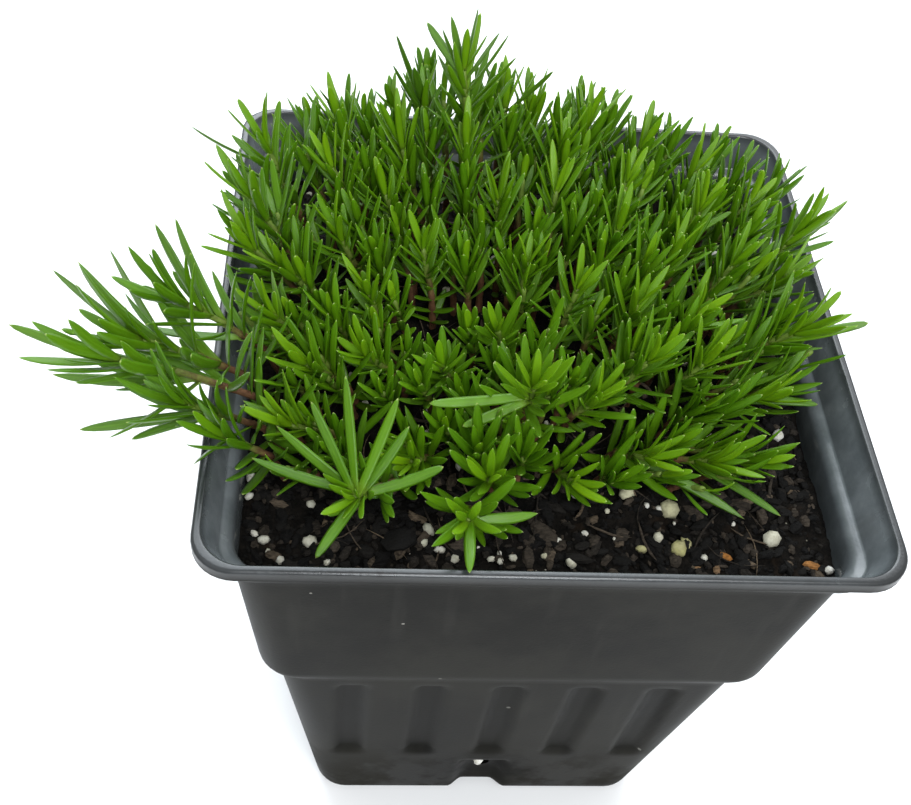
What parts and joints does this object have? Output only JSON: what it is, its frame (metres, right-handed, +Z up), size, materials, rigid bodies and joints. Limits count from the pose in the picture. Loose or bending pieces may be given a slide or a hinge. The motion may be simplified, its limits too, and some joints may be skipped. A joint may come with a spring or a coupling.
{
  "type": "potted creeping phlox",
  "caption": "Square nursery pot filled with potting mix, planted with a low spreading mat of creeping phlox shoots that carry narrow pointed leaves and trail over one side.",
  "frame": {"origin": "centre of the pot's flat base, on the surface the pot stands on", "axes": "+Z up, +X to the right and +Y away from the pot's front wall"},
  "size_m": [0.1494, 0.115, 0.163],
  "materials": {
    "pot_plastic": "dark grey thermoformed plastic, satin",
    "potting_mix": "moist peat and bark mix with perlite",
    "phlox_leaf": "fresh green leaves, waxy"
  },
  "bodies": {
    "root": {"pot": "pot_plastic", "potting_mix": "potting_mix", "shoot_01": "phlox_leaf", "shoot_02": "phlox_leaf", "shoot_03": "phlox_leaf", "shoot_04": "phlox_leaf", "shoot_05": "phlox_leaf", "shoot_06": "phlox_leaf", "shoot_07": "phlox_leaf", "shoot_08": "phlox_leaf", "shoot_09": "phlox_leaf", "shoot_10": "phlox_leaf", "shoot_11": "phlox_leaf", "shoot_12": "phlox_leaf", "shoot_13": "phlox_leaf", "shoot_14": "phlox_leaf", "shoot_15": "phlox_leaf", "shoot_16": "phlox_leaf", "shoot_17": "phlox_leaf", "shoot_18": "phlox_leaf", "shoot_19": "phlox_leaf", "shoot_20": "phlox_leaf", "shoot_21": "phlox_leaf", "shoot_22": "phlox_leaf", "shoot_23": "phlox_leaf", "shoot_24": "phlox_leaf", "shoot_25": "phlox_leaf", "shoot_26": "phlox_leaf", "shoot_27": "phlox_leaf", "shoot_28": "phlox_leaf", "shoot_29": "phlox_leaf", "shoot_30": "phlox_leaf", "shoot_31": "phlox_leaf", "shoot_32": "phlox_leaf", "shoot_33": "phlox_leaf", "shoot_34": "phlox_leaf", "shoot_35": "phlox_leaf", "shoot_36": "phlox_leaf", "shoot_37": "phlox_leaf", "shoot_38": "phlox_leaf", "shoot_39": "phlox_leaf", "shoot_40": "phlox_leaf", "shoot_41": "phlox_leaf", "shoot_42": "phlox_leaf", "shoot_43": "phlox_leaf", "shoot_44": "phlox_leaf", "shoot_45": "phlox_leaf", "shoot_46": "phlox_leaf", "shoot_47": "phlox_leaf", "shoot_48": "phlox_leaf", "shoot_49": "phlox_leaf", "shoot_50": "phlox_leaf", "shoot_51": "phlox_leaf", "shoot_52": "phlox_leaf", "shoot_53": "phlox_leaf", "shoot_54": "phlox_leaf", "shoot_55": "phlox_leaf", "shoot_56": "phlox_leaf", "shoot_57": "phlox_leaf"}
  },
  "joints": []
}
